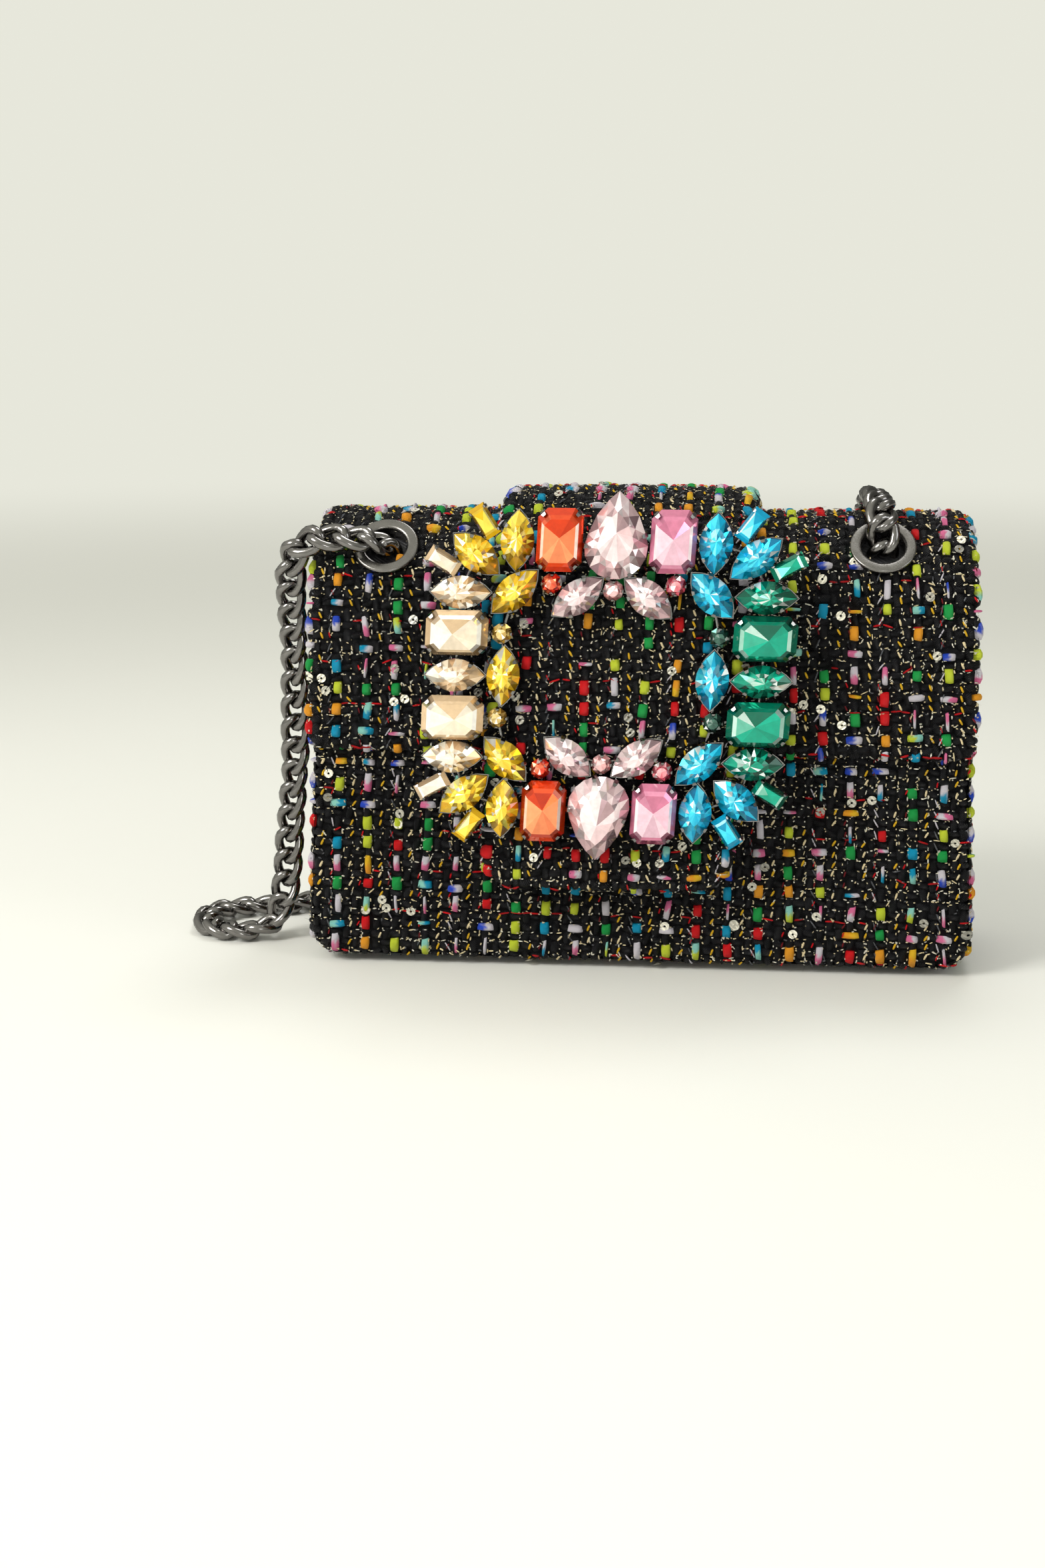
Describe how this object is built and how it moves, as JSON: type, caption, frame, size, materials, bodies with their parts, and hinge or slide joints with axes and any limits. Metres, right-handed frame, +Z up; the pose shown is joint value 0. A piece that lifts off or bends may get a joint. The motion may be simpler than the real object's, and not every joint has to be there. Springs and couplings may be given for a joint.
{
  "type": "evening bag",
  "caption": "Flap-top evening bag in black tweed, with a jewelled rectangular wreath on its centre tab and a chain strap through two eyelets.",
  "frame": {"origin": "on the underside of the base, at the middle of the bag's width and of its body's depth", "axes": "+X along the bag's width, to the viewer's right when facing its front; -Y out of the front, the face with the ornament; +Z up"},
  "size_m": [0.2422, 0.1505, 0.1449],
  "materials": {
    "tweed": "chunky black basket-weave tweed with gold and coloured ribbon yarns",
    "lining_cloth": "smooth black twill lining",
    "fibreboard": "plain stiffener board",
    "gunmetal": "dark gunmetal plating",
    "plain_steel": "plain nickel-plated steel",
    "setting_silver": "ruthenium-toned plated setting",
    "crystal_yellow": "faceted crystal, yellow",
    "crystal_blue": "faceted crystal, aqua blue",
    "crystal_champagne": "faceted crystal, champagne",
    "crystal_green": "faceted crystal, emerald green",
    "crystal_pink": "faceted crystal, light pink",
    "crystal_rose": "faceted crystal, rose pink",
    "crystal_orange": "faceted crystal, orange"
  },
  "bodies": {
    "body": {"back_panel": "tweed", "base_board": "fibreboard", "chain_strap": "gunmetal", "front_panel": "tweed", "gusset_band": "tweed", "lining": "lining_cloth", "magnet_socket": "gunmetal", "magnet_socket_washer": "plain_steel", "slip_pocket": "lining_cloth"},
    "flap": {"chain_toggle_left": "gunmetal", "chain_toggle_right": "gunmetal", "eyelet_left": "gunmetal", "eyelet_right": "gunmetal", "eyelet_washer_left": "plain_steel", "eyelet_washer_right": "plain_steel", "flap_lining": "lining_cloth", "flap_outer": "tweed", "magnet_stud": "gunmetal", "setting_bottom": "setting_silver", "setting_left": "setting_silver", "setting_right": "setting_silver", "setting_top": "setting_silver", "stone_navette_corner_bottom_left": "crystal_yellow", "stone_navette_corner_bottom_right": "crystal_blue", "stone_navette_corner_top_left": "crystal_yellow", "stone_navette_corner_top_right": "crystal_blue", "stone_navette_end_bottom_left": "crystal_yellow", "stone_navette_end_bottom_right": "crystal_blue", "stone_navette_end_top_left": "crystal_yellow", "stone_navette_end_top_right": "crystal_blue", "stone_navette_inner_bottom_left": "crystal_yellow", "stone_navette_inner_bottom_right": "crystal_blue", "stone_navette_inner_top_left": "crystal_yellow", "stone_navette_inner_top_right": "crystal_blue", "stone_navette_inside_left": "crystal_yellow", "stone_navette_inside_right": "crystal_blue", "stone_navette_leaf_bottom_left": "crystal_rose", "stone_navette_leaf_bottom_right": "crystal_rose", "stone_navette_leaf_top_left": "crystal_rose", "stone_navette_leaf_top_right": "crystal_rose", "stone_navette_middle_left": "crystal_champagne", "stone_navette_middle_right": "crystal_green", "stone_navette_side_bottom_left": "crystal_champagne", "stone_navette_side_bottom_right": "crystal_green", "stone_navette_side_top_left": "crystal_champagne", "stone_navette_side_top_right": "crystal_green", "stone_octagon_end_bottom_left": "crystal_orange", "stone_octagon_end_bottom_right": "crystal_rose", "stone_octagon_end_top_left": "crystal_orange", "stone_octagon_end_top_right": "crystal_rose", "stone_octagon_side_bottom_left": "crystal_champagne", "stone_octagon_side_bottom_right": "crystal_green", "stone_octagon_side_top_left": "crystal_champagne", "stone_octagon_side_top_right": "crystal_green", "stone_pear_bottom": "crystal_pink", "stone_pear_top": "crystal_pink", "tab_backing": "lining_cloth", "tab_outer": "tweed"}
  },
  "joints": [
    {"name": "flap_hinge", "type": "hinge", "parent": "body", "child": "flap", "pos_m": [0, 0.03, 0.1055], "axis": [-1, 0, 0], "range_deg": [0, 110], "deforming": ["chain_strap"]}
  ]
}
